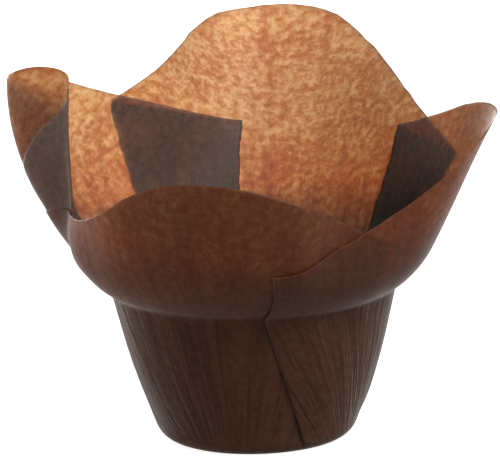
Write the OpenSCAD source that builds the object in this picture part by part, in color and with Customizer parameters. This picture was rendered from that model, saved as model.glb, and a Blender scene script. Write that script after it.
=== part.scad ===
// Baking liner pressed from one square of greaseproof paper.
// The square goes down between a plug and a die: the middle becomes a round cup, the spare
// width is laid into four Z pleats, and the four corners stand up as petals. Lengths round the
// cup are kept, so the petals have the outline of the sheet that they were.
// Angles are in degrees counter-clockwise from +X, seen from above. Petal and pleat lists
// go round in the order right, back, left, front.

/* [Cup] */
// Radius at which the line of the wall meets the ground
base_r = 25.3; // [20:0.1:28]
// Radius of the bend between the flat bottom and the wall
bottom_bend = 4; // [2:0.5:7]
// Lean of the wall outwards from upright, in degrees
wall_lean = 16.2; // [8:0.1:28]
// Height of the neck, where the die's mouth creased the sheet
neck_h = 37.4; // [30:0.1:44]

/* [Collar] */
// Length of the sharp bend at the neck, along the sheet
neck_bend = 2.5; // [1:0.5:5]
// Lean of the flare just above the neck, in degrees
flare_lean = 60.5; // [40:0.5:68]
// Length of the flare along the sheet
flare_len = 2.1; // [1:0.1:10]
// Lean lost along the flare, in degrees
flare_droop = 8.5; // [0:0.5:20]
// Length over which the flare turns up into the petals
flare_turn = 11.2; // [6:0.1:20]
// Angle at which each petal's middle stands
petal_at = [-18, 98, 170, 291.5]; // [-30:0.5:300]
// Lean of each petal where it leaves the flare, in degrees
petal_lean = [30, 43, 50.5, 38.5]; // [10:0.5:55]
// Lean of each petal near its tip, in degrees
petal_tip_lean = [17.5, 22, -7, -39.5]; // [-45:0.5:40]
// Lean of the collar at each pleat, in degrees
pleat_lean = [13.5, 33.5, 6, 19]; // [-10:0.5:40]
// Lean of the collar at each pleat, near the top
pleat_tip_lean = [39.5, -26, -5, -33.5]; // [-40:0.5:45]
// Length of petal over which its lean changes to that of its tip
petal_curl = 51; // [30:1:90]

/* [Pleats] */
// Angle at which each pleat starts on the bottom edge
pleat_at = [48.3, 128.5, 191.3, 306.7]; // [0:0.1:360]
// Share of each pleat that lies past its start
pleat_lead = [0.12, 0.3, 0.05, 0.44]; // [0:0.01:1]
// Part of the spare width that each pleat takes, against the others
pleat_size = [0.92, 0.94, 1.03, 1.2]; // [0.7:0.01:1.4]
// Which layer is outside at each pleat: 1 the petal before it, -1 the petal after it
pleat_out = [-1, 1, -1, -1]; // [-1:2:1]
// Gap from the middle of one layer to the middle of the next
layer_gap = 0.6; // [0.5:0.05:1]
// Length round the cup over which a petal settles on the layer below it
settle = 7; // [3:0.5:12]

/* [Sheet] */
// Side of the square sheet
sheet_side = 194.6; // [184:0.1:204]
// How far the sheet's middle lies off the cup's axis, towards the back left
press_shift = 11.7; // [0:0.1:14]
// How far the sheet's middle lies off the cup's axis, towards the back right
press_side = 5.8; // [-8:0.1:12]
// Turn of the sheet under the plug, in degrees
sheet_turn = 0.7; // [-8:0.1:8]
// How far the middle of each side of the sheet is hollowed
side_hollow = 2.6; // [0:0.1:5]
// Radius of each corner of the sheet, which is the top of a petal
corner_r = [40, 23, 32, 40]; // [3:1:50]
// Thickness of the sheet, drawn thicker than the real paper so that it is a sound solid
paper_t = 0.2; // [0.15:0.01:0.3]

/* [Crimps] */
// Height of the fine upright crimps in the wall
crimp = 0.3; // [0:0.05:0.6]

/* [Hidden] */

paper_colour = "#4b3129";

// Parts of the sheet that a column of the mesh can belong to
PETAL = 0;
FIRST_FOLD = 1;
MIDDLE_LAYER = 2;
LAST_FOLD = 3;

// Columns along each layer of a pleat and along the single sheet between two pleats
lap_columns = 6;
free_columns = 12;
// Rows up the bend from the flare, and from there to the sheet's edge
turn_rows = 4;
edge_rows = 7;
// Width of the strip in which a pleat still lies open on the flat bottom
open_strip = 1.5;
// Width of each pleat where it starts, on the bottom bend
pleat_start = 0.8;
// Least width over which the lapped columns of a petal are spread
least_lap = 3;
// Half of a layer gap, by which a hairpin fold stands past its two layers
fold_inset = layer_gap / 2;

// The cup along the sheet, from its middle outwards
flat_r = base_r - bottom_bend * tan((90 - wall_lean) / 2);
bend_len = bottom_bend * (90 - wall_lean) * PI / 180;
bend_rise = bottom_bend * (1 - sin(wall_lean));
wall_len = (neck_h - bend_rise) / cos(wall_lean);
wall_s = flat_r + bend_len;
neck_s = wall_s + wall_len;
flare_s = neck_s + neck_bend;
// Where the pleats start on the bottom bend, and the run before it in which their layers part
pleat_s = flat_r + bend_len / 2;
parting = bend_len / 6;

function clamp(x) = max(0, min(1, x));
function mix(a, b, f) = a + (b - a) * f;
function mean(list) = list * [1, 1, 1, 1] / 4;
function ease(f) = (1 - cos(180 * clamp(f))) / 2;

// A leg is a stretch of the sheet's profile: its length, and the lean from upright at its two ends
cup_legs = [
    [flat_r, 90, 90],
    [bend_len, 90, wall_lean],
    [wall_len, wall_lean, wall_lean]
];
function collar_legs(low, high) = [
    [neck_bend, wall_lean, flare_lean],
    [flare_len, flare_lean, flare_lean - flare_droop],
    [flare_turn, flare_lean - flare_droop, low],
    [petal_curl, low, high],
    [sheet_side, high, high]
];

// Where a walk of a given length along one leg ends: radius, height and lean
function step(at, run, leg) =
    let (lean = mix(leg[1], leg[2], run / leg[0]),
         half = (lean - leg[1]) / 2,
         chord = abs(half) < 0.001 ? run : run * sin(half) / (half * PI / 180),
         heading = leg[1] + half)
    [at[0] + chord * sin(heading), at[1] + chord * cos(heading), lean];

function walk(s, legs, i = 0, at = [0, 0, 90]) =
    s <= 0 || i == len(legs) ? at :
    walk(s - legs[i][0], legs, i + 1, step(at, min(s, legs[i][0]), legs[i]));

// Leans round the collar, which swing smoothly from each petal to the next pleat
knots = [for (k = [0 : 3]) each [[petal_at[k], 2 * k], [pleat_at[k], 2 * k + 1]],
         [petal_at[0] + 360, 8]];
low_leans = [for (k = [0 : 3]) each [petal_lean[k], pleat_lean[k]]];
high_leans = [for (k = [0 : 3]) each [petal_tip_lean[k], pleat_tip_lean[k]]];

function around(leans, turn) =
    let (u = lookup(turn - 360 * floor((turn - petal_at[0]) / 360), knots),
         i = floor(u))
    mix(leans[i % 8], leans[(i + 1) % 8], ease(u - i));

function profile(s, turn) =
    walk(s, concat(cup_legs, collar_legs(around(low_leans, turn), around(high_leans, turn))));

mean_legs = concat(cup_legs,
    collar_legs((mean(petal_lean) + mean(pleat_lean)) / 2,
                (mean(petal_tip_lean) + mean(pleat_tip_lean)) / 2));
function mean_radius(s) = walk(s, mean_legs)[0];

// Each pleat takes its part of half of the spare way round, as it does so in two layers
total_size = pleat_size * [1, 1, 1, 1];
function spare_widths(s) = PI * (s - mean_radius(s)) / total_size * pleat_size;

// Width of each pleat: below 0 where it still lies open
function fold_widths(s) =
    let (start = lookup(s, [[pleat_s - parting, -open_strip], [pleat_s, 0],
                            [pleat_s + parting, pleat_start]]))
    [for (width = spare_widths(s)) width + start];

// Share of a layer gap by which the ends of the middle layer reach towards the other two, so that
// a pleat starts as an S
function tilt(width) = 0.4 * clamp((3 - width) / 2);

// Degrees of a pleat in which three layers lie on each other
function lap_turn(width, radius) = degrees(max(width - 2 * fold_inset, least_lap), radius);

// Degrees that a length takes up round a circle
function degrees(length, radius) = length / radius * 180 / PI;

// Sum of a list up to and with item k
function running(list, k) = k < 0 ? 0 : list[k] + running(list, k - 1);

// Angles on the flat sheet, at a distance s, of each pleat's two folds
function flat_folds(s) =
    let (radius = mean_radius(s),
         widths = spare_widths(s),
         arcs = [for (k = [0 : 3])
             let (before = (k + 3) % 4,
                  apart = pleat_at[k] - pleat_at[before] + (k == 0 ? 360 : 0))
             radius * apart * PI / 180 + pleat_lead[k] * widths[k]
                 + (1 - pleat_lead[before]) * widths[before]],
         firsts = [for (k = [0 : 3]) running(arcs, k) + running(widths, k - 1)],
         drift = mean([for (k = [0 : 3]) pleat_at[k] - degrees(firsts[k] + widths[k] / 2, s)]))
    [for (k = [0 : 3]) [degrees(firsts[k], s), degrees(firsts[k] + widths[k], s)] + [1, 1] * drift];

// A column's place at a distance s along the sheet: its angle round the cup, its angle on the
// flat sheet, and its layer from -1 inside to 1 outside
function place(column, s) =
    let (k = column[0],
         part = column[1],
         f = column[2],
         before = (k + 3) % 4,
         back = k == 0 ? 360 : 0,
         radius = mean_radius(s),
         widths = fold_widths(s),
         flats = flat_folds(s),
         inset = degrees(fold_inset, radius),
         first = pleat_at[k] + pleat_lead[k] * degrees(widths[k], radius),
         last = pleat_at[k] - (1 - pleat_lead[k]) * degrees(widths[k], radius),
         from = pleat_at[before] - back
             - (1 - pleat_lead[before]) * degrees(widths[before], radius) + inset,
         to = first - inset,
         turned_in = widths[k] > 0 ? inset : -inset,
         turn = lookup(f, [[0, from], [1, from + lap_turn(widths[before], radius)],
                           [2, to - lap_turn(widths[k], radius)], [3, to]]),
         share = (turn - from) / (to - from))
    part == FIRST_FOLD ? [first, flats[k][0], pleat_out[k] * (1 + tilt(widths[k])) / 2] :
    part == LAST_FOLD ? [last, flats[k][1], -pleat_out[k] * (1 + tilt(widths[k])) / 2] :
    part == MIDDLE_LAYER ?
        [mix(first - turned_in, last + turned_in, f), mix(flats[k][0], flats[k][1], f),
         pleat_out[k] * tilt(widths[k]) * (1 - 2 * f)] :
    [turn, mix(flats[before][1] - back, flats[k][0], share),
     pleat_out[k] * lap(to - turn, widths[k], radius)
     - pleat_out[before] * lap(turn - from, widths[before], radius)];

// How fully a petal still lies lapped over a pleat, at an angle from the pleat's fold
function lap(turn, width, radius) =
    1 - ease((turn * PI / 180 * radius - max(width, 0)) / settle);

// How far a side of the sheet is hollowed, at a distance from its middle
function hollow(x) = side_hollow * max(1 - pow(2 * x / sheet_side, 2), 0);

// Distance of a point of the flat sheet outside the square with rounded corners
function outside(s, flat_turn) =
    let (u = s * cos(flat_turn - 135 - sheet_turn) - press_shift,
         v = s * cos(flat_turn - 45 - sheet_turn) - press_side,
         corner = corner_r[u > 0 ? (v > 0 ? 1 : 2) : (v > 0 ? 0 : 3)],
         over = [abs(u) + hollow(v), abs(v) + hollow(u)] - [1, 1] * (sheet_side / 2 - corner))
    norm([max(over[0], 0), max(over[1], 0)]) + min(max(over), 0) - corner;

// Distance along the sheet at which a column reaches the sheet's edge, found by halving
function edge_s(column, low = flare_s, high = sheet_side, tries = 22) =
    tries == 0 ? low :
    let (guess = (low + high) / 2)
    outside(guess, place(column, guess)[1]) > 0
        ? edge_s(column, low, guess, tries - 1)
        : edge_s(column, guess, high, tries - 1);

// Columns of the mesh: the petal or pleat they belong to, their part, how far along it they lie,
// and the side to which a crimp lifts them. Along a petal, 0 to 1 and 2 to 3 are its laps.
lap_shares = [for (i = [0 : lap_columns - 1]) i / (lap_columns - 1)];
columns = [for (k = [0 : 3]) each concat(
    [for (f = lap_shares) [k, PETAL, f, 0]],
    [for (i = [1 : free_columns]) [k, PETAL, 1 + i / (free_columns + 1), i % 2 == 0 ? 1 : -1]],
    [for (f = lap_shares) [k, PETAL, 2 + f, 0]],
    [[k, FIRST_FOLD, 0, 0]],
    [for (f = lap_shares) [k, MIDDLE_LAYER, f, 0]],
    [[k, LAST_FOLD, 0, 0]])];

// Rows of the mesh: fixed ones up to the flare, then up the turn and on to the sheet's edge
flat_rows = [for (i = [1 : 2]) flat_r * i / 2];
cup_rows = concat(flat_rows,
    [pleat_s - parting, pleat_s, pleat_s + parting, wall_s],
    [for (i = [1 : 3]) wall_s + wall_len * i / 3],
    [neck_s + neck_bend / 2, flare_s]);
row_count = len(cup_rows) + turn_rows + edge_rows;

// The turn's rows lie at the same distances in all layers, unless the edge comes too soon
function turn_row(i, rise) =
    min(flare_len + flare_turn * (i - 1) / (turn_rows - 1), rise * i / (turn_rows + 3));

function collar_row(i, rise) =
    i <= turn_rows ? turn_row(i, rise) :
    mix(turn_row(turn_rows, rise), rise, (i - turn_rows) / edge_rows);

function row_s(j, edge) =
    j < len(cup_rows) ? cup_rows[j] :
    flare_s + collar_row(j - len(cup_rows) + 1, edge - flare_s);

// Height of the crimps along the wall, none at its two ends or where layers lap
function crimp_lift(column, s, layer) =
    crimp * column[3] * sin(180 * clamp((s - wall_s) / wall_len)) * (1 - min(1, abs(layer)));

// Point where a middle layer lies
function on_layer(s, turn) =
    let (path = profile(s, turn))
    [path[0] * cos(turn), path[0] * sin(turn), path[1] + paper_t / 2];

function sheet_point(column, s) =
    let (at = place(column, s),
         parted = clamp((s - pleat_s) / parting + 1),
         lift = at[2] * layer_gap * parted + crimp_lift(column, s, at[2]),
         here = on_layer(s, at[0]),
         out = cross(on_layer(s, at[0] + 0.5) - on_layer(s, at[0] - 0.5),
                     on_layer(s + 0.1, at[0]) - here))
    here + lift * out / norm(out);

// Middle surface of the paper, column by column
middle = [for (column = columns)
    let (edge = edge_s(column))
    [for (j = [0 : row_count - 1]) sheet_point(column, row_s(j, edge))]];
column_count = len(columns);

// Unit vector out of the sheet, towards the outside of the cup
function outward(i, j) =
    let (across = middle[(i + 1) % column_count][j]
                  - middle[(i + column_count - 1) % column_count][j],
         low = j < len(flat_rows) ? max(j, 1) - 1 : j - 1,
         high = j < len(flat_rows) ? max(j, 1) : min(j + 1, row_count - 1),
         out = cross(across, middle[i][high] - middle[i][low]))
    out / norm(out);

function face_points(side) =
    [for (i = [0 : column_count - 1], j = [0 : row_count - 1])
        middle[i][j] + side * paper_t / 2 * outward(i, j)];

// Two triangles for each cell of a grid, wound either way
function pair(a, b, c, d, flip) = flip ? [[a, c, b], [a, d, c]] : [[a, b, c], [a, c, d]];

// A cell between two columns. A middle layer runs back, so its cells are split along the other
// diagonal, and its triangles then lie along those of the layers on each side.
function cell(start, i, j, flip) =
    let (a = start + i * row_count + j,
         d = start + ((i + 1) % column_count) * row_count + j)
    columns[i][1] == MIDDLE_LAYER ? pair(a + 1, d + 1, d, a, flip) :
    pair(a, a + 1, d + 1, d, flip);

module liner() {
    inner_start = column_count * row_count;
    outer_centre = 2 * inner_start;
    inner_centre = outer_centre + 1;
    points = concat(face_points(1), face_points(-1), [[0, 0, 0], [0, 0, paper_t]]);
    faces = [for (i = [0 : column_count - 1])
        let (here = i * row_count,
             next = ((i + 1) % column_count) * row_count,
             top = row_count - 1)
        each concat(
            [for (j = [0 : row_count - 2]) each cell(0, i, j, false)],
            [for (j = [0 : row_count - 2]) each cell(inner_start, i, j, true)],
            pair(here + top, inner_start + here + top,
                 inner_start + next + top, next + top, false),
            [[outer_centre, here, next],
             [inner_centre, inner_start + next, inner_start + here]])];
    color(paper_colour) polyhedron(points, faces, convexity = 10);
}

liner();
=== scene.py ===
"""A baking liner pressed from one square of greaseproof paper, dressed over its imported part.

The square goes down between a plug and a die. Its middle becomes a round cup, the spare width of
each side is laid into one Z pleat of three layers, and its four corners stand up as petals.
Sizes of the liner are in millimetres and angles in degrees, counter-clockwise from +X seen from
above, as in the part's source. Everything that Blender gets is in metres.

A point of the sheet is named by s, its distance from the pressed centre along the paper, and by
its column, one of the lines that run outwards through a petal or along a fold. A list of four
goes round from the right petal or from the pleat after it: right, back, left, front.
"""

import logging
import math
from dataclasses import dataclass
from enum import Enum

import bmesh
import bpy
from mathutils import Matrix, Vector, noise

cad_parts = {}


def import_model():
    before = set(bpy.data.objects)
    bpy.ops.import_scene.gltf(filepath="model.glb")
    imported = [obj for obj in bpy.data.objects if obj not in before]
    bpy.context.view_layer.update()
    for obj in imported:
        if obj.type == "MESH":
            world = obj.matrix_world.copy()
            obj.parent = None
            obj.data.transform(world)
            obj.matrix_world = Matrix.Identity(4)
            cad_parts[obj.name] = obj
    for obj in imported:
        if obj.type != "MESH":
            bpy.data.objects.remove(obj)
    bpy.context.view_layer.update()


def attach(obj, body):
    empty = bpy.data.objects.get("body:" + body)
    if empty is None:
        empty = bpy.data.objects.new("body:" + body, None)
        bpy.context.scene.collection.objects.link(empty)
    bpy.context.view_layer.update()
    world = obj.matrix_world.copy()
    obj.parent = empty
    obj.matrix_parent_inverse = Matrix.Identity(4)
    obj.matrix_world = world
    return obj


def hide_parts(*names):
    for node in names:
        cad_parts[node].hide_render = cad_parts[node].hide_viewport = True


LOG = logging.getLogger("baking_liner")

MM = 0.001
NEARLY_ZERO = 1e-6
EDGE_HALVINGS = 24

Stops = tuple[tuple[float, str], ...]


class Part(Enum):
    """What a column of the sheet belongs to."""

    PETAL = "petal"
    FIRST_FOLD = "first fold"
    MIDDLE_LAYER = "middle layer"
    LAST_FOLD = "last fold"


@dataclass(frozen=True)
class Leg:
    """A stretch of the sheet's profile, which bends evenly.

    length: length along the paper.
    start, end: lean outwards from upright at its two ends.
    """

    length: float
    start: float
    end: float


@dataclass(frozen=True)
class CupSize:
    """The round cup.

    base_r: radius at which the line of the wall meets the ground.
    bend: radius of the bend between the flat bottom and the wall.
    wall_lean: lean of the wall outwards from upright.
    neck_h: height of the neck.
    """

    base_r: float = 25.3
    bend: float = 4.0
    wall_lean: float = 16.2
    neck_h: float = 37.4


@dataclass(frozen=True)
class CollarSize:
    """The collar above the neck.

    neck_bend: length of the sharp bend at the neck.
    flare_lean: lean of the flare where it leaves the neck.
    flare_len: length of the flare.
    flare_droop: lean that the flare loses over that length.
    turn_len: length over which the flare turns up into the petals.
    curl_len: length of petal over which its lean changes to that of its tip.
    petal_at: angle at which each petal stands.
    petal_lean, petal_tip_lean: lean of each petal at its foot and at its tip.
    pleat_lean, pleat_tip_lean: the same of the collar at each pleat.
    """

    neck_bend: float = 2.5
    flare_lean: float = 60.5
    flare_len: float = 2.1
    flare_droop: float = 8.5
    turn_len: float = 11.2
    curl_len: float = 51.0
    petal_at: tuple[float, ...] = (-18.0, 98.0, 170.0, 291.5)
    petal_lean: tuple[float, ...] = (30.0, 43.0, 50.5, 38.5)
    petal_tip_lean: tuple[float, ...] = (17.5, 22.0, -7.0, -39.5)
    pleat_lean: tuple[float, ...] = (13.5, 33.5, 6.0, 19.0)
    pleat_tip_lean: tuple[float, ...] = (39.5, -26.0, -5.0, -33.5)


@dataclass(frozen=True)
class PleatSize:
    """The four Z pleats, each between one petal and the next.

    at: angle at which each pleat starts on the bottom edge.
    lead: share of each pleat that lies past its start.
    size: each pleat's part of the spare width, against the others.
    out: which layer is outside, 1 the petal before it, -1 the petal after it.
    gap: from the middle of one layer to the middle of the next.
    settle: length over which a petal settles on the layer below it.
    open_strip: width in which a pleat still lies open on the flat bottom.
    slack_first, slack_last: how far the first and the last fold of each pleat stand out past
        their line, where the paper was forced over the neck.
    slack_from, slack_most, slack_to: distances at which they start to, do so most and end.
    """

    at: tuple[float, ...] = (48.3, 128.5, 191.3, 306.7)
    lead: tuple[float, ...] = (0.12, 0.3, 0.05, 0.44)
    size: tuple[float, ...] = (0.92, 0.94, 1.03, 1.2)
    out: tuple[int, ...] = (-1, 1, -1, -1)
    gap: float = 0.36
    settle: float = 7.0
    open_strip: float = 1.5
    slack_first: tuple[float, ...] = (2.9, 0.0, 0.0, 0.0)
    slack_last: tuple[float, ...] = (0.0, 3.7, 0.0, 0.0)
    slack_from: float = 58.0
    slack_most: float = 76.0
    slack_to: tuple[float, ...] = (96.0, 118.0, 118.0, 118.0)


@dataclass(frozen=True)
class SheetSize:
    """The flat square.

    side: side of the square.
    facing, facing_side: directions that two neighbouring sides face.
    shift, shift_side: how far its middle lies off the axis, in those two directions.
    turn: turn of the sheet under the plug.
    hollow: how far the middle of each side is hollowed.
    corner_r: radius of each petal's corner, from the petal after the right one round to it.
    thickness: thickness of the paper.
    """

    side: float = 194.6
    facing: float = 135.0
    facing_side: float = 45.0
    shift: float = 11.7
    shift_side: float = 5.8
    turn: float = 0.7
    hollow: float = 2.6
    corner_r: tuple[float, ...] = (40.0, 23.0, 32.0, 40.0)
    thickness: float = 0.09


@dataclass(frozen=True)
class Swell:
    """A place where the sheet stands out from the die's shape.

    turn, distance: angle and distance at which it stands out most.
    half_turn, half_length: how far it reaches round the cup and along the sheet.
    height: how far it stands out, below 0 where it stands in.
    """

    turn: float
    distance: float
    half_turn: float
    half_length: float
    height: float


@dataclass(frozen=True)
class Wander:
    """One part of the way in which the folds leave their lines.

    height: how far a fold strays.
    step: length along the sheet in which it turns back.
    seed: two numbers that make each fold stray in its own way.
    """

    height: float
    step: float
    seed: tuple[float, float]


@dataclass(frozen=True)
class Wear:
    """Small unevenness of a pressed and handled sheet.

    wrinkle, ripple: height of the upright wrinkles in the wall and of the slow waves above it.
    wrinkles_round, ripples_round: how many of them there are in a radius's length round the cup.
    wrinkle_len, ripple_len: their length along the sheet.
    fine_wrinkle, fine_scale: height of the finer wrinkles against the others, and how much finer.
    wanders: the ways in which the folds leave their lines.
    wander_r: radius of the collar at which a fold strays by its height.
    grow_len: length past the neck over which waves and strays grow to their full height.
    swells: the larger places where the sheet stands out.
    """

    wrinkle: float = 0.16
    wrinkles_round: float = 13.0
    wrinkle_len: float = 60.0
    fine_wrinkle: float = 0.6
    fine_scale: float = 2.7
    ripple: float = 0.5
    ripples_round: float = 2.4
    ripple_len: float = 21.0
    wanders: tuple[Wander, ...] = (
        Wander(0.45, 3.1, (7.3, 2.0)),
        Wander(0.315, 1.1, (5.1, 9.0)),
    )
    wander_r: float = 45.0
    grow_len: float = 25.0
    swells: tuple[Swell, ...] = (
        Swell(190.0, 46.0, 1e6, 22.0, 0.75),
        Swell(190.0, 81.0, 32.0, 13.0, 1.6),
        Swell(12.0, 27.0, 55.0, 9.0, -0.8),
        Swell(8.0, 128.0, 35.0, 30.0, 1.4),
    )


@dataclass(frozen=True)
class Marks:
    """Where the folds lie at one distance along the sheet.

    first, last: angle round the cup of each pleat's two folds.
    flat_first, flat_last: the same on the flat sheet.
    widths: width of each pleat.
    radius: mean radius of the liner there.
    """

    first: tuple[float, ...]
    last: tuple[float, ...]
    flat_first: tuple[float, ...]
    flat_last: tuple[float, ...]
    widths: tuple[float, ...]
    radius: float


@dataclass(frozen=True)
class Column:
    """A radial line of the sheet.

    index: number of its petal or pleat.
    part: the part of it that the line belongs to.
    share: how far across that part it lies, from 0 to 1.
    """

    index: int
    part: Part
    share: float


def clamp(value: float) -> float:
    """Keeps a value between 0 and 1.

    Args:
        value: any number.

    Returns:
        The nearest number from 0 to 1.
    """
    return max(0.0, min(1.0, value))


def mix(low: float, high: float, share: float) -> float:
    """Goes a share of the way from one number to another.

    Args:
        low: the number at share 0.
        high: the number at share 1.
        share: how far to go.

    Returns:
        The number in between.
    """
    return low + (high - low) * share


def ease(share: float) -> float:
    """Smooths a share, so that it starts and ends flat.

    Args:
        share: a share, cut off at 0 and 1.

    Returns:
        The smoothed share.
    """
    return (1 - math.cos(math.pi * clamp(share))) / 2


def arc(length: float, radius: float) -> float:
    """Gives the angle that a length takes up round a circle.

    Args:
        length: length round the circle.
        radius: radius of the circle.

    Returns:
        The angle in degrees.
    """
    return math.degrees(length / max(radius, NEARLY_ZERO))


def walk(distance: float, legs: list[Leg]) -> tuple[float, float, float]:
    """Follows a profile from the middle of the sheet outwards.

    Args:
        distance: how far to go along the sheet.
        legs: stretches of the profile, each bending evenly.

    Returns:
        Radius, height and lean where the walk ends.
    """
    radius = height = 0.0
    lean = legs[0].start
    for leg in legs:
        run = min(distance, leg.length)
        if run <= 0:
            break
        lean = mix(leg.start, leg.end, run / leg.length)
        half = math.radians(lean - leg.start) / 2
        chord = run if abs(half) < NEARLY_ZERO else run * math.sin(half) / half
        heading = math.radians(lean + leg.start) / 2
        radius += chord * math.sin(heading)
        height += chord * math.cos(heading)
        distance -= leg.length
    return radius, height, lean


class FoldMap:
    """Says where each point of the flat sheet goes when the liner is pressed."""

    def __init__(
        self, cup: CupSize, collar: CollarSize, pleats: PleatSize, sheet: SheetSize, wear: Wear
    ) -> None:
        """Works out what is the same all round.

        Args:
            cup: sizes of the round cup.
            collar: sizes of the collar.
            pleats: sizes of the pleats.
            sheet: sizes of the flat square.
            wear: heights of the small unevenness.
        """
        self.cup = cup
        self.collar = collar
        self.pleats = pleats
        self.sheet = sheet
        self.wear = wear
        upright = math.radians(90 - cup.wall_lean)
        self.flat_r = cup.base_r - cup.bend * math.tan(upright / 2)
        self.bend_len = cup.bend * upright
        rise = cup.bend * (1 - math.sin(math.radians(cup.wall_lean)))
        self.wall_len = (cup.neck_h - rise) / math.cos(math.radians(cup.wall_lean))
        self.wall_s = self.flat_r + self.bend_len
        self.neck_s = self.wall_s + self.wall_len
        self.flare_s = self.neck_s + collar.neck_bend
        self.cup_legs = [
            Leg(self.flat_r, 90, 90),
            Leg(self.bend_len, 90, cup.wall_lean),
            Leg(self.wall_len, cup.wall_lean, cup.wall_lean),
        ]
        self.knots: list[tuple[float, float, float]] = []
        for k in range(4):
            self.knots.append((collar.petal_at[k], collar.petal_lean[k], collar.petal_tip_lean[k]))
            self.knots.append((pleats.at[k], collar.pleat_lean[k], collar.pleat_tip_lean[k]))
        start = self.knots[0]
        self.knots.append((start[0] + 360, start[1], start[2]))
        low = sum(knot[1] for knot in self.knots[:8]) / 8
        high = sum(knot[2] for knot in self.knots[:8]) / 8
        self.mean_legs = self.cup_legs + self.collar_legs(low, high)

    def collar_legs(self, low: float, high: float) -> list[Leg]:
        """Makes the profile above the neck.

        Args:
            low: lean where the petal leaves the flare.
            high: lean near its tip.

        Returns:
            The stretches from the neck to past the sheet's edge.
        """
        c = self.collar
        flare_end = c.flare_lean - c.flare_droop
        return [
            Leg(c.neck_bend, self.cup.wall_lean, c.flare_lean),
            Leg(c.flare_len, c.flare_lean, flare_end),
            Leg(c.turn_len, flare_end, low),
            Leg(c.curl_len, low, high),
            Leg(self.sheet.side, high, high),
        ]

    def profile(self, s: float, turn: float) -> tuple[float, float, float]:
        """Finds a point of the folded sheet in the upright plane at one angle.

        Args:
            s: distance along the sheet from its pressed centre.
            turn: angle round the cup.

        Returns:
            Radius, height and lean there.
        """
        start = self.knots[0][0]
        turn = (turn - start) % 360 + start
        index = max(i for i in range(8) if self.knots[i][0] <= turn)
        here, there = self.knots[index], self.knots[index + 1]
        share = ease((turn - here[0]) / (there[0] - here[0]))
        low = mix(here[1], there[1], share)
        high = mix(here[2], there[2], share)
        return walk(s, self.cup_legs + self.collar_legs(low, high))

    def marks(self, s: float) -> Marks:
        """Finds the folds at one distance, so that lengths round the sheet are kept.

        Args:
            s: distance along the sheet.

        Returns:
            The folds' angles round the cup and on the flat sheet, and the pleats' widths.
        """
        p = self.pleats
        radius = walk(s, self.mean_legs)[0]
        spare = max(s - radius, 0.0) * math.pi
        widths = tuple(size / sum(p.size) * spare for size in p.size)
        first = tuple(p.at[k] + p.lead[k] * arc(widths[k], radius) for k in range(4))
        last = tuple(p.at[k] - (1 - p.lead[k]) * arc(widths[k], radius) for k in range(4))
        rise = ease((s - p.slack_from) / (p.slack_most - p.slack_from))
        stray = [arc(rise * ease((to - s) / (to - p.slack_most)), radius) for to in p.slack_to]
        flat_first: list[float] = []
        flat_last: list[float] = []
        here = 0.0
        for k in range(4):
            before = last[k - 1] - (360 if k == 0 else 0)
            here += (first[k] - before) * radius / max(s, NEARLY_ZERO)
            flat_first.append(here)
            here += arc(widths[k], s)
            flat_last.append(here)
        drift = sum(p.at[k] - (flat_first[k] + flat_last[k]) / 2 for k in range(4)) / 4
        return Marks(
            tuple(a + p.slack_first[k] * stray[k] for k, a in enumerate(first)),
            tuple(a - p.slack_last[k] * stray[k] for k, a in enumerate(last)),
            tuple(a + drift for a in flat_first),
            tuple(a + drift for a in flat_last),
            widths,
            radius,
        )

    def lap(self, length: float, width: float) -> float:
        """Says how fully a petal still lies on a pleat.

        Args:
            length: length round the cup from the pleat's fold.
            width: width of the pleat.

        Returns:
            1 on the pleat, falling to 0 where the petal has settled.
        """
        return 1 - ease((length - width) / self.pleats.settle)

    def place(self, column: Column, s: float) -> tuple[float, float, float]:
        """Finds a column's place at one distance along the sheet.

        Args:
            column: the radial line.
            s: distance along the sheet.

        Returns:
            Its angle round the cup, its angle on the flat sheet, and its layer from -1 to 1.
        """
        k, out = column.index, self.pleats.out
        m = self.marks(s)
        closed = [clamp(width / self.pleats.open_strip) for width in m.widths]
        inset = arc(self.pleats.gap / 2, m.radius) * closed[k]
        if column.part is Part.FIRST_FOLD:
            return m.first[k], m.flat_first[k], closed[k] * out[k] / 2
        if column.part is Part.LAST_FOLD:
            return m.last[k], m.flat_last[k], -closed[k] * out[k] / 2
        if column.part is Part.MIDDLE_LAYER:
            turn = mix(m.first[k] - inset, m.last[k] + inset, column.share)
            return turn, mix(m.flat_first[k], m.flat_last[k], column.share), 0.0
        before = (k + 3) % 4
        back = 360 if k == 0 else 0
        start = m.last[before] - back + inset
        end = m.first[k] - inset
        run = math.radians(end - start) * m.radius
        layer = closed[k] * out[k] * self.lap((1 - column.share) * run, m.widths[k])
        layer -= closed[before] * out[before] * self.lap(column.share * run, m.widths[before])
        flat = mix(m.flat_last[before] - back, m.flat_first[k], column.share)
        return mix(start, end, column.share), flat, layer

    def outside(self, s: float, flat_turn: float) -> float:
        """Measures how far a point of the flat sheet lies outside the rounded square.

        Args:
            s: distance from the pressed centre.
            flat_turn: angle on the flat sheet.

        Returns:
            The distance, below 0 inside the square.
        """
        size = self.sheet
        turn = flat_turn - size.turn
        u = s * math.cos(math.radians(turn - size.facing)) - size.shift
        v = s * math.cos(math.radians(turn - size.facing_side)) - size.shift_side
        corner = size.corner_r[(1 if v > 0 else 2) if u > 0 else (0 if v > 0 else 3)]
        hollow_u = size.hollow * max(1 - (2 * v / size.side) ** 2, 0)
        hollow_v = size.hollow * max(1 - (2 * u / size.side) ** 2, 0)
        over_u = abs(u) + hollow_u - (size.side / 2 - corner)
        over_v = abs(v) + hollow_v - (size.side / 2 - corner)
        over = math.hypot(max(over_u, 0), max(over_v, 0)) + min(max(over_u, over_v), 0)
        return over - corner

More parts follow.
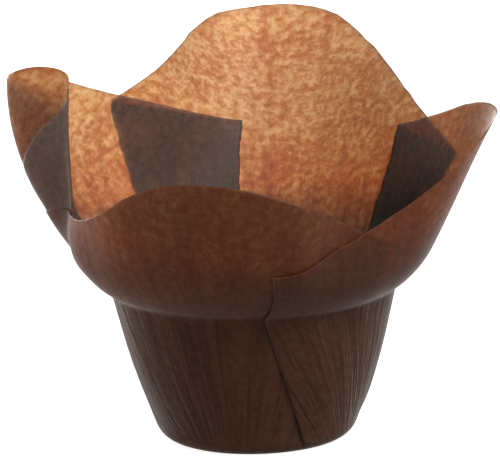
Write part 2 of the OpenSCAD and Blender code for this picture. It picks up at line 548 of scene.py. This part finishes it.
    def edge(self, column: Column) -> float:
        """Finds where a column reaches the cut edge, by halving.

        Args:
            column: the radial line.

        Returns:
            The distance along the sheet.
        """
        low, high = self.flare_s, self.sheet.side
        for _ in range(EDGE_HALVINGS):
            guess = (low + high) / 2
            if self.outside(guess, self.place(column, guess)[1]) > 0:
                high = guess
            else:
                low = guess
        return low

    def swell(self, s: float, turn: float) -> float:
        """Adds up how far the sheet stands out.

        Args:
            s: distance along the sheet.
            turn: angle round the cup.

        Returns:
            The height.
        """
        height = 0.0
        for swell in self.wear.swells:
            across = abs((turn - swell.turn + 180) % 360 - 180) / swell.half_turn
            along = abs(s - swell.distance) / swell.half_length
            height += swell.height * ease(1 - across) * ease(1 - along)
        return height

    def wander(self, s: float, index: int) -> float:
        """Adds up how far the folds beside a petal or pleat stray.

        Args:
            s: distance along the sheet.
            index: number of the petal or pleat.

        Returns:
            The way strayed, round the cup.
        """
        strays = (
            way.height * noise.noise(Vector((s / way.step, index * way.seed[0], way.seed[1])))
            for way in self.wear.wanders
        )
        return sum(strays)

    def waves(self, s: float, round_cup: Vector, grown: float) -> float:
        """Adds up the wrinkles of the wall and the slow waves above it.

        Args:
            s: distance along the sheet.
            round_cup: direction outwards from the axis.
            grown: how far the slow waves have grown there.

        Returns:
            Their height.
        """
        wear = self.wear
        slow = round_cup * wear.ripples_round + Vector((0, 0, s / wear.ripple_len))
        fine = round_cup * wear.wrinkles_round + Vector((0, 0, s / wear.wrinkle_len))
        on_wall = math.sin(math.pi * clamp((s - self.wall_s) / self.wall_len))
        wrinkles = noise.noise(fine) + wear.fine_wrinkle * noise.noise(fine * wear.fine_scale)
        return noise.noise(slow) * wear.ripple * grown + wrinkles * wear.wrinkle * on_wall

    def point(self, column: Column, s: float) -> tuple[Vector, Vector]:
        """Finds where a point of the sheet stands in the liner.

        Args:
            column: the radial line.
            s: distance along the sheet.

        Returns:
            Its place in the liner and on the flat sheet, both in metres.
        """
        turn, flat_turn, layer = self.place(column, s)
        flat_rad = math.radians(flat_turn)
        flat = Vector((s * math.cos(flat_rad), s * math.sin(flat_rad), 0)) * MM
        grown = clamp((s - self.neck_s) / self.wear.grow_len)
        turn += arc(self.wander(s, column.index), self.wear.wander_r) * grown
        radius, height, lean = self.profile(s, turn)
        rad = math.radians(turn)
        round_cup = Vector((math.cos(rad), math.sin(rad), 0))
        lift = layer * self.pleats.gap + self.waves(s, round_cup, grown) + self.swell(s, turn)
        tilt = math.radians(lean)
        radius += lift * math.cos(tilt)
        height += self.sheet.thickness / 2 - lift * math.sin(tilt)
        return (round_cup * radius + Vector((0, 0, height))) * MM, flat


def linear(code: str) -> tuple[float, float, float, float]:
    """Turns an sRGB hex colour into the linear colour that shaders take.

    Args:
        code: six hex digits.

    Returns:
        Red, green, blue and an alpha of 1.
    """
    parts = [int(code[i : i + 2], 16) / 255 for i in (0, 2, 4)]
    curved = [c / 12.92 if c <= 0.04045 else ((c + 0.055) / 1.055) ** 2.4 for c in parts]
    return (*curved, 1.0)


def add_node(
    tree: bpy.types.NodeTree,
    kind: str,
    inputs: dict | None = None,
    stops: Stops = (),
    **settings: object,
) -> bpy.types.Node:
    """Adds a shader node.

    Args:
        tree: the node tree that gets it.
        kind: the node's type name.
        inputs: a value or another node's output for each input that isn't left as it is.
        stops: for a ramp, two or more places along it in rising order and their sRGB hex colours.
        settings: the node's own settings.

    Returns:
        The new node.
    """
    node = tree.nodes.new(kind)
    for name, value in settings.items():
        setattr(node, name, value)
    for name, value in (inputs or {}).items():
        if isinstance(value, bpy.types.NodeSocket):
            tree.links.new(value, node.inputs[name])
        else:
            node.inputs[name].default_value = value
    if stops:
        elements = node.color_ramp.elements
        for place, _ in stops[2:]:
            elements.new(place)
        for element, (place, colour) in zip(elements, stops):
            element.position = place
            element.color = linear(colour)
    return node


@dataclass(frozen=True)
class PaperFinish:
    """Brown greaseproof paper, of pulp beaten until it is dense and nearly clear, dyed through.

    Against the light it glows amber and its fibres show as flecks. In the wall, where the crimps
    gather it, it lies denser and passes less light, and painted shade dims the light passed on over
    the lower collar and petals too, so that the cup looks nearly black. Each face is a matt body
    under a faint gloss, and most of the light goes through it. Places along the sheet are distances
    from its pressed centre. The flecks and crimps are a little coarser than the real ones, so that
    they show.

    name: the paper, and how its face was made.
    fibres: light that it gives back, from dark to pale fibres.
    pressed: what is left of that light, along the sheet. On the outer face it darkens towards the
    tips; on the inner face it dims and warms the painted grey sheen down into the cup.
    let_through: light that one face passes on, from thick to thin pulp.
    crimped_and_shaded: what is left of that light, along the sheet: less in the wall, where the
    crimps gather it, and less over the lower collar and petals by painted shade.
    share: part of the light that goes through and not back.
    ahead, spread: part of that which goes nearly straight on, and how widely it spreads.
    fleck, cloud: width of the fibre flecks and of the slow clouds in the pulp.
    cloudy: part that the clouds have in how thickly the pulp lies, against the flecks.
    drift: painted light: how much thinner the pulp is made in a metre of flat sheet, towards +X,
    +Y and +Z, so that the back and left petals glow brighter and the front and right darker.
    crimp_w, crimp_h: width and height of the fine upright crimps that gather the paper.
    crimp_r: radius of the cup at which they have that width.
    wall: how strongly the crimps and their painted shade show, along the sheet.
    hollow_shade: painted shade in the crimps' hollows, a colour from their hollows to their tops.
    gathered: how strongly they stop light, along the sheet.
    thick_line: light that they let through, from their hollows to their tops.
    grain, grain_h: strength and height of the fibres' own relief.
    roughness, ior, shine: roughness and index of the gloss, and how much of it there is.
    farthest: distance past which nothing more changes along the sheet.
    """

    name: str
    fibres: Stops
    pressed: Stops
    let_through: Stops = ((0.36, "bd8450"), (0.5, "cd9f73"), (0.64, "e0c4a0"))
    # Partly real, partly painted shade: less light passed on in the gathered wall, and painted
    # shade over the lower collar and petals.
    crimped_and_shaded: Stops = ((62.0, "7e736c"), (74.0, "b6a498"), (88.0, "fdeddf"), (110.0, "ffffff"))
    share: float = 0.8
    ahead: float = 0.15
    spread: float = 0.45
    fleck: float = 2.0
    cloud: float = 11.0
    cloudy: float = 0.3
    # Painted light: thinner pulp towards the back and left makes those petals glow brighter.
    drift: tuple[float, float, float] = (-0.36, 0.3, 0.0)
    crimp_w: float = 1.2
    crimp_h: float = 0.55
    crimp_r: float = 31.2
    wall: Stops = (
        (22.0, "000000"),
        (33.0, "ffffff"),
        (61.6, "ffffff"),
        (72.6, "383838"),
        (99.0, "101010"),
    )
    # Painted shade: the light given back is darkened in the crimps' hollows.
    hollow_shade: Stops = ((0.38, "d4cac4"), (0.5, "f2eeea"), (0.62, "ffffff"))
    gathered: Stops = ((61.6, "ffffff"), (88.0, "b0b0b0"), (110.0, "000000"))
    thick_line: Stops = ((0.4, "cdb39c"), (0.5, "f6eee6"), (0.6, "ffffff"))
    grain: float = 0.35
    grain_h: float = 0.05
    roughness: float = 0.48
    ior: float = 1.3
    shine: float = 0.28
    farthest: float = 110.0

    def pulp(
        self, tree: bpy.types.NodeTree, flat: bpy.types.NodeSocket
    ) -> tuple[bpy.types.NodeSocket, bpy.types.NodeSocket]:
        """Adds the fibres' flecks and the thickness in which the pulp lies.

        Args:
            tree: the node tree that gets them.
            flat: place on the flat sheet.

        Returns:
            The flecks, and how thinly the pulp lies, each from 0 to 1; the thinness carries a
            painted slope of light, brighter towards the back and left.
        """
        flecks = add_node(
            tree,
            "ShaderNodeTexNoise",
            {"Vector": flat, "Scale": 1 / (self.fleck * MM), "Detail": 4.0, "Roughness": 0.7},
        ).outputs["Fac"]
        clouds = add_node(
            tree,
            "ShaderNodeTexNoise",
            {"Vector": flat, "Scale": 1 / (self.cloud * MM), "Detail": 3.0},
        ).outputs["Fac"]
        both = add_node(
            tree,
            "ShaderNodeMix",
            {"Factor": self.cloudy, "A": flecks, "B": clouds},
            data_type="FLOAT",
        ).outputs["Result"]
        # Painted light: a slope across the flat sheet that thins the pulp towards the back and
        # left.
        painted_backlight_slope = add_node(
            tree, "ShaderNodeVectorMath", {0: flat, 1: self.drift}, operation="DOT_PRODUCT"
        ).outputs["Value"]
        return flecks, add_node(tree, "ShaderNodeMath", {0: both, 1: painted_backlight_slope}).outputs[0]

    def crimps(
        self, tree: bpy.types.NodeTree, flat: bpy.types.NodeSocket, reach: bpy.types.NodeSocket
    ) -> bpy.types.NodeSocket:
        """Adds the fine upright crimps that gather the paper in the wall.

        Args:
            tree: the node tree that gets them.
            flat: place on the flat sheet.
            reach: distance from the sheet's pressed centre.

        Returns:
            Their height, from 0 to 1.
        """
        round_cup = add_node(
            tree, "ShaderNodeVectorMath", {0: flat}, operation="NORMALIZE"
        ).outputs["Vector"]
        place = add_node(tree, "ShaderNodeSeparateXYZ", {"Vector": round_cup}).outputs
        place = add_node(
            tree, "ShaderNodeCombineXYZ", {"X": place["X"], "Y": place["Y"], "Z": reach}
        ).outputs["Vector"]
        return add_node(
            tree,
            "ShaderNodeTexNoise",
            {
                "Vector": place,
                "Scale": self.crimp_r / self.crimp_w,
                "Detail": 3.0,
                "Roughness": 0.7,
            },
        ).outputs["Fac"]

    def by_distance(
        self, tree: bpy.types.NodeTree, along: bpy.types.NodeSocket, stops: Stops
    ) -> bpy.types.NodeSocket:
        """Colours the sheet by distance from its pressed centre.

        Args:
            tree: the node tree that gets the colours.
            along: that distance, as a share of the farthest.
            stops: an sRGB hex colour for each distance.

        Returns:
            The colour.
        """
        shares = tuple((distance / self.farthest, colour) for distance, colour in stops)
        return add_node(tree, "ShaderNodeValToRGB", {"Fac": along}, shares).outputs["Color"]

    def streaks(
        self,
        tree: bpy.types.NodeTree,
        light: bpy.types.NodeSocket,
        crimps: bpy.types.NodeSocket,
        mask: bpy.types.NodeSocket,
        stops: Stops,
    ) -> bpy.types.NodeSocket:
        """Streaks light where a mask lets the crimps show.

        Args:
            tree: the node tree that gets the streaks.
            light: the light that they take from.
            crimps: height of the crimps.
            mask: how far they show, from 0 to 1.
            stops: an sRGB hex colour for each height.

        Returns:
            The streaked light.
        """
        lines = add_node(tree, "ShaderNodeValToRGB", {"Fac": crimps}, stops).outputs["Color"]
        shown = add_node(
            tree, "ShaderNodeMix", {0: mask, 6: linear("ffffff"), 7: lines}, data_type="RGBA"
        ).outputs[2]
        return add_node(
            tree, "ShaderNodeVectorMath", {0: light, 1: shown}, operation="MULTIPLY"
        ).outputs["Vector"]

    def relief(
        self,
        tree: bpy.types.NodeTree,
        flecks: bpy.types.NodeSocket,
        crimps: bpy.types.NodeSocket,
        on_wall: bpy.types.NodeSocket,
    ) -> bpy.types.NodeSocket:
        """Raises the fibres, and the crimps over them.

        Args:
            tree: the node tree that gets the relief.
            flecks: height of the fibres.
            crimps: height of the crimps.
            on_wall: how strongly the crimps show.

        Returns:
            The normal.
        """
        grain = add_node(
            tree,
            "ShaderNodeBump",
            {"Height": flecks, "Strength": self.grain, "Distance": self.grain_h * MM},
        ).outputs["Normal"]
        return add_node(
            tree,
            "ShaderNodeBump",
            {
                "Height": crimps,
                "Strength": on_wall,
                "Distance": self.crimp_h * MM,
                "Normal": grain,
            },
        ).outputs["Normal"]

    def face(
        self,
        tree: bpy.types.NodeTree,
        body: bpy.types.NodeSocket,
        through: bpy.types.NodeSocket,
        normal: bpy.types.NodeSocket,
    ) -> bpy.types.NodeSocket:
        """Puts the light given back, the light passed on and the gloss together.

        Args:
            tree: the node tree that gets the shaders.
            body: light that the paper gives back.
            through: light that it passes on.
            normal: its relief.

        Returns:
            The shader.
        """
        matt = add_node(
            tree,
            "ShaderNodeBsdfPrincipled",
            {
                "Base Color": body,
                "Roughness": self.roughness,
                "Specular IOR Level": 0.0,
                "Normal": normal,
            },
        )
        wide = add_node(tree, "ShaderNodeBsdfTranslucent", {"Color": through, "Normal": normal})
        narrow = add_node(
            tree,
            "ShaderNodeBsdfRefraction",
            {"Color": through, "Roughness": self.spread, "IOR": self.ior, "Normal": normal},
        )
        passed = add_node(
            tree,
            "ShaderNodeMixShader",
            {"Fac": self.ahead, 1: wide.outputs[0], 2: narrow.outputs[0]},
        )
        paper = add_node(
            tree,
            "ShaderNodeMixShader",
            {"Fac": self.share, 1: matt.outputs[0], 2: passed.outputs[0]},
        )
        gloss = add_node(
            tree, "ShaderNodeBsdfAnisotropic", {"Roughness": self.roughness, "Normal": normal}
        )
        edge_on = add_node(tree, "ShaderNodeFresnel", {"IOR": self.ior, "Normal": normal})
        faint = add_node(
            tree, "ShaderNodeMath", {0: edge_on.outputs["Fac"], 1: self.shine}, operation="MULTIPLY"
        )
        return add_node(
            tree,
            "ShaderNodeMixShader",
            {"Fac": faint.outputs[0], 1: paper.outputs[0], 2: gloss.outputs[0]},
        ).outputs[0]

    def build(self, uv_name: str) -> bpy.types.Material:
        """Makes the paper's material.

        Args:
            uv_name: the UV map that holds each point's place on the flat sheet, in metres.

        Returns:
            The material.
        """
        material = bpy.data.materials.new(self.name)
        material.use_nodes = True
        tree = material.node_tree
        tree.nodes.clear()
        flat = add_node(tree, "ShaderNodeUVMap", uv_map=uv_name).outputs["UV"]
        reach = add_node(
            tree, "ShaderNodeVectorMath", {0: flat}, operation="LENGTH"
        ).outputs["Value"]
        along = add_node(
            tree, "ShaderNodeMapRange", {"Value": reach, "From Max": self.farthest * MM}
        ).outputs["Result"]
        flecks, thin = self.pulp(tree, flat)
        crimps = self.crimps(tree, flat, reach)
        on_wall = self.by_distance(tree, along, self.wall)
        gathered = self.by_distance(tree, along, self.gathered)

        # The light passed on: dimmed in the gathered wall and by painted shade over the lower
        # collar and petals, then lined by the crimps.
        passing = self.by_distance(tree, along, self.crimped_and_shaded)
        passing = self.streaks(tree, passing, crimps, gathered, self.thick_line)
        # The light let through, by how thinly the pulp lies, with the painted slope of light in it.
        clear = add_node(tree, "ShaderNodeValToRGB", {"Fac": thin}, self.let_through)
        through = add_node(
            tree,
            "ShaderNodeVectorMath",
            {0: clear.outputs["Color"], 1: passing},
            operation="MULTIPLY",
        ).outputs["Vector"]

        # The light given back: dimmed along the sheet, with painted shade in the crimps' hollows;
        # on the inner face its grey is a painted sheen.
        pressed = self.by_distance(tree, along, self.pressed)
        pressed = self.streaks(tree, pressed, crimps, on_wall, self.hollow_shade)
        fibres = add_node(tree, "ShaderNodeValToRGB", {"Fac": flecks}, self.fibres)
        body = add_node(
            tree,
            "ShaderNodeVectorMath",
            {0: fibres.outputs["Color"], 1: pressed},
            operation="MULTIPLY",
        ).outputs["Vector"]

        normal = self.relief(tree, flecks, crimps, on_wall)
        whole = self.face(tree, body, through, normal)
        add_node(tree, "ShaderNodeOutputMaterial", {"Surface": whole})
        return material


# The outer face is the paper as it was dyed and dried: matt, and a warm dark brown.
DYED_FACE = PaperFinish(
    "greaseproof_paper_dyed_brown",
    fibres=((0.35, "784f42"), (0.65, "8c6453")),
    # Darker towards the petals' tips.
    pressed=((66.0, "fffbe8"), (110.0, "bcb6b8")),
)

# The inner face has a film of silicone; its grey is a painted sheen, the reflection of the white
# surroundings painted over the same brown.
COATED_SHEEN_FACE = PaperFinish(
    "greaseproof_paper_coated_painted_sheen",
    fibres=((0.35, "717670"), (0.65, "7d837d")),
    # The painted sheen is dimmed and warmed down into the cup.
    pressed=((66.0, "b6a89c"), (110.0, "ffffff")),
)


@dataclass(frozen=True)
class MeshDensity:
    """How finely the sheet is divided.

    petal, pleat: columns in a petal and in a pleat's middle layer.
    flat, bend, wall, neck, collar: rows in each stretch of the profile.
    gather: how strongly a petal's columns gather at its folds, from 0 to 1.
    thin_out: how the collar's rows thin out towards the cut edge, 1 for evenly.
    """

    petal: int = 58
    pleat: int = 14
    flat: int = 8
    bend: int = 8
    wall: int = 16
    neck: int = 5
    collar: int = 60
    gather: float = 0.55
    thin_out: float = 1.1


@dataclass(frozen=True)
class Liner:
    """The whole liner, one folded sheet of paper.

    folds: where the sheet's points go.
    density: how finely it is divided.
    outer, inner: the finishes of the paper's two faces.
    uv_name: the UV map that holds each point's place on the flat sheet, in metres.
    bottom_h: height under which an open edge is that of the bottom's middle.
    seam: distance within which the grid's first and last column are one.
    """

    folds: FoldMap
    density: MeshDensity = MeshDensity()
    outer: PaperFinish = DYED_FACE
    inner: PaperFinish = COATED_SHEEN_FACE
    uv_name: str = "flat_sheet"
    bottom_h: float = 1.0
    seam: float = 1e-4

    def columns(self) -> list[Column]:
        """Lists the sheet's radial lines, once round.

        Returns:
            The columns of each petal and of the pleat after it.
        """
        d = self.density
        found: list[Column] = []
        for k in range(4):
            for i in range(d.petal):
                share = i / (d.petal - 1)
                share = mix(share, ease(share), d.gather)
                found.append(Column(k, Part.PETAL, share))
            found.append(Column(k, Part.FIRST_FOLD, 0.0))
            for i in range(d.pleat):
                found.append(Column(k, Part.MIDDLE_LAYER, i / (d.pleat - 1)))
            found.append(Column(k, Part.LAST_FOLD, 0.0))
        return found

    def rows(self, edge: float) -> list[float]:
        """Lists the distances at which a column has its points.

        Args:
            edge: distance at which the column reaches the cut edge.

        Returns:
            The distances from near the middle to the edge.
        """
        f, d = self.folds, self.density
        found = [f.flat_r * (i + 1) / d.flat for i in range(d.flat)]
        found += [f.flat_r + f.bend_len * (i + 1) / d.bend for i in range(d.bend)]
        found += [f.wall_s + f.wall_len * (i + 1) / d.wall for i in range(d.wall)]
        found += [f.neck_s + f.collar.neck_bend * (i + 1) / d.neck for i in range(d.neck)]
        shares = [((i + 1) / d.collar) ** d.thin_out for i in range(d.collar)]
        return found + [mix(f.flare_s, edge, share) for share in shares]

    def mesh(self) -> bpy.types.Mesh:
        """Folds a grid of points into the liner's paper.

        Returns:
            The mesh of the sheet's middle surface, facing outwards.
        """
        columns = self.columns()
        columns.append(columns[0])
        tracks = [self.rows(self.folds.edge(column)) for column in columns]
        wide, tall = len(columns), len(tracks[0])
        bm = bmesh.new()
        uv = bm.loops.layers.uv.new(self.uv_name)
        bmesh.ops.create_grid(bm, x_segments=wide - 1, y_segments=tall - 1, size=1.0)
        flat_places: dict[bmesh.types.BMVert, Vector] = {}
        seam: list[bmesh.types.BMVert] = []
        for vert in bm.verts:
            i = round((vert.co.x + 1) / 2 * (wide - 1))
            j = round((vert.co.y + 1) / 2 * (tall - 1))
            vert.co, flat_places[vert] = self.folds.point(columns[i], tracks[i][j])
            if i in (0, wide - 1):
                seam.append(vert)
        for face in bm.faces:
            for loop in face.loops:
                loop[uv].uv = flat_places[loop.vert].xy
        bmesh.ops.remove_doubles(bm, verts=seam, dist=self.seam * MM)
        low = self.bottom_h * MM
        ring = [edge for edge in bm.edges if edge.is_boundary and edge.verts[0].co.z < low]
        middle = bmesh.ops.contextual_create(bm, geom=ring)["faces"]
        for face in bmesh.ops.poke(bm, faces=middle)["faces"]:
            for loop in face.loops:
                loop[uv].uv = loop.vert.co.xy
        for face in bm.faces:
            face.smooth = True
        bmesh.ops.recalc_face_normals(bm, faces=bm.faces[:])
        mesh = bpy.data.meshes.new("liner_paper")
        bm.to_mesh(mesh)
        bm.free()
        return mesh

    def build(self) -> bpy.types.Object:
        """Makes the liner's object.

        Returns:
            The object, with the paper's thickness as a modifier.
        """
        piece = bpy.data.objects.new("liner_paper", self.mesh())
        bpy.context.scene.collection.objects.link(piece)
        solid = piece.modifiers.new("paper_thickness", "SOLIDIFY")
        solid.thickness = self.folds.sheet.thickness * MM
        solid.offset = 0.0
        solid.use_even_offset = False
        solid.material_offset = 1
        return piece

    def dress(self, piece: bpy.types.Object) -> None:
        """Gives the liner its paper and its place in the frame.

        Args:
            piece: the liner's object.
        """
        for finish in (self.outer, self.inner):
            piece.data.materials.append(finish.build(self.uv_name))
        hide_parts("liner")
        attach(piece, "root")


@dataclass(frozen=True)
class Panel:
    """A soft lamp: a white rectangle that shines towards a point. All its sizes are in metres.

    name: the lamp's name.
    place, target: its middle, and the point that it shines towards.
    width, height: its sides.
    watts: its power.
    """

    name: str
    place: tuple[float, float, float]
    target: tuple[float, float, float]
    width: float
    height: float
    watts: float


@dataclass(frozen=True)
class CameraSize:
    """The photograph's view.

    azimuth, elevation: direction of the camera from the liner's foot.
    distance: metres from the foot.
    scale: pixels to a millimetre at that distance.
    foot_x, foot_y: pixel of the liner's foot.
    roll: turn of the picture.
    frame: width and height of the picture in pixels.
    sensor: width of the camera's sensor in millimetres.
    clip: nearest and farthest that it sees, in metres.
    """

    azimuth: float = 10.45
    elevation: float = 15.88
    distance: float = 0.8347
    scale: float = 3.84
    foot_x: float = 259.6
    foot_y: float = 429.3
    roll: float = 2.02
    frame: tuple[int, int] = (500, 460)
    sensor: float = 36.0
    clip: tuple[float, float] = (0.01, 20.0)


@dataclass(frozen=True)
class Studio:
    """Floor, background, lamps and camera.

    camera: the photograph's view.
    panels: the soft lamps. The key hangs high in front. The others stand low, under the petals'
        edges, so that each lights one outer side and doesn't shine into the liner.
    room: strength of the even light of the room, where 1 is white.
    floor_half: half the side of the floor, in metres.
    paint: colour of the floor under the lamps.
    white: what the camera sees of the floor over that.
    """

    camera: CameraSize = CameraSize()
    panels: tuple[Panel, ...] = (
        Panel("key_panel", (0.62, -0.56, 1.0), (0.0, 0.0, 0.05), 0.5, 0.5, 22.0),
        Panel("window_panel", (-0.3, 0.85, 0.09), (0.0, 0.0, 0.07), 0.8, 0.16, 15.2),
        Panel("left_panel", (-0.9, -0.25, 0.09), (0.0, 0.0, 0.07), 0.6, 0.16, 4.8),
        Panel("right_panel", (0.9, -0.2, 0.08), (0.0, 0.0, 0.06), 0.6, 0.14, 2.5),
    )
    room: float = 0.2
    floor_half: float = 2.0
    paint: str = "a8a8a8"
    white: str = "f4f4f4"

    def floor(self) -> None:
        """Lays a plain pale floor of matt paint, white to the camera and shaded by the liner.

        Its white is for what the camera sees, itself or in a gloss. Light that has spread in the
        paper doesn't see it, so that the floor doesn't make the paper glow.
        """
        mesh = bpy.data.meshes.new("studio_floor")
        bm = bmesh.new()
        bmesh.ops.create_grid(bm, x_segments=1, y_segments=1, size=self.floor_half)
        bm.to_mesh(mesh)
        bm.free()
        floor = bpy.data.objects.new("studio_floor", mesh)
        bpy.context.scene.collection.objects.link(floor)
        material = bpy.data.materials.new("matt_white_paint")
        material.use_nodes = True
        tree = material.node_tree
        tree.nodes.clear()
        paint = add_node(tree, "ShaderNodeBsdfDiffuse", {"Color": linear(self.paint)})
        rays = add_node(tree, "ShaderNodeLightPath").outputs
        seen = rays["Is Camera Ray"]
        for other in ("Is Glossy Ray", "Is Transmission Ray"):
            seen = add_node(
                tree, "ShaderNodeMath", {0: seen, 1: rays[other]}, operation="MAXIMUM"
            ).outputs[0]
        seen = add_node(
            tree,
            "ShaderNodeMath",
            {0: seen, 1: rays["Is Diffuse Ray"]},
            operation="SUBTRACT",
            use_clamp=True,
        ).outputs[0]
        white = add_node(
            tree, "ShaderNodeEmission", {"Color": linear(self.white), "Strength": seen}
        )
        both = add_node(tree, "ShaderNodeAddShader", {0: paint.outputs[0], 1: white.outputs[0]})
        add_node(tree, "ShaderNodeOutputMaterial", {"Surface": both.outputs[0]})
        mesh.materials.append(material)

    def background(self) -> None:
        """Makes the world an even, dim room, which is white in a gloss."""
        world = bpy.data.worlds.new("studio_white")
        bpy.context.scene.world = world
        world.use_nodes = True
        tree = world.node_tree
        tree.nodes.clear()
        rays = add_node(tree, "ShaderNodeLightPath").outputs
        level = add_node(
            tree,
            "ShaderNodeMapRange",
            {"Value": rays["Is Glossy Ray"], "To Min": self.room, "To Max": 1.0},
        )
        light = add_node(
            tree,
            "ShaderNodeBackground",
            {"Color": linear("ffffff"), "Strength": level.outputs["Result"]},
        )
        add_node(tree, "ShaderNodeOutputWorld", {"Surface": light.outputs[0]})

    def lamps(self) -> None:
        """Hangs the soft lamps."""
        for panel in self.panels:
            data = bpy.data.lights.new(panel.name, "AREA")
            data.shape = "RECTANGLE"
            data.size, data.size_y = panel.width, panel.height
            data.energy = panel.watts
            lamp = bpy.data.objects.new(panel.name, data)
            bpy.context.scene.collection.objects.link(lamp)
            way = Vector(panel.target) - Vector(panel.place)
            turn = way.to_track_quat("-Z", "Y").to_matrix().to_4x4()
            lamp.matrix_world = Matrix.Translation(panel.place) @ turn
            lamp.visible_camera = False

    def view(self) -> None:
        """Stands the camera where the photograph was taken."""
        size = self.camera
        a, e = math.radians(size.azimuth), math.radians(size.elevation)
        back = Vector((math.sin(a) * math.cos(e), -math.cos(a) * math.cos(e), math.sin(e)))
        right = Vector((math.cos(a), math.sin(a), 0))
        focal = size.scale / MM * size.distance
        pitch = math.atan((size.foot_y - size.frame[1] / 2) / focal)
        yaw = math.atan((size.foot_x - size.frame[0] / 2) / focal)
        turn = Matrix((right, back.cross(right), back)).transposed()
        turn = turn @ Matrix.Rotation(-math.radians(size.roll), 3, "Z")
        turn = turn @ Matrix.Rotation(pitch, 3, "X") @ Matrix.Rotation(yaw, 3, "Y")
        data = bpy.data.cameras.new("photo_camera")
        data.sensor_width = size.sensor
        data.lens = focal * size.sensor / size.frame[0]
        data.clip_start, data.clip_end = size.clip
        camera = bpy.data.objects.new("photo_camera", data)
        bpy.context.scene.collection.objects.link(camera)
        camera.matrix_world = Matrix.Translation(back * size.distance) @ turn.to_4x4()
        bpy.context.scene.camera = camera

    def build(self) -> None:
        """Builds the whole studio."""
        bpy.context.scene.view_settings.view_transform = "Standard"
        self.floor()
        self.background()
        self.lamps()
        self.view()


def main() -> None:
    """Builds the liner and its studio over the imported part."""
    logging.basicConfig(level=logging.INFO, format="%(name)s: %(message)s")
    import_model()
    folds = FoldMap(CupSize(), CollarSize(), PleatSize(), SheetSize(), Wear())
    liner = Liner(folds)
    piece = liner.build()
    liner.dress(piece)
    LOG.info("%s has %d faces before its thickness", piece.name, len(piece.data.polygons))
    Studio().build()


if __name__ == "__main__":
    main()
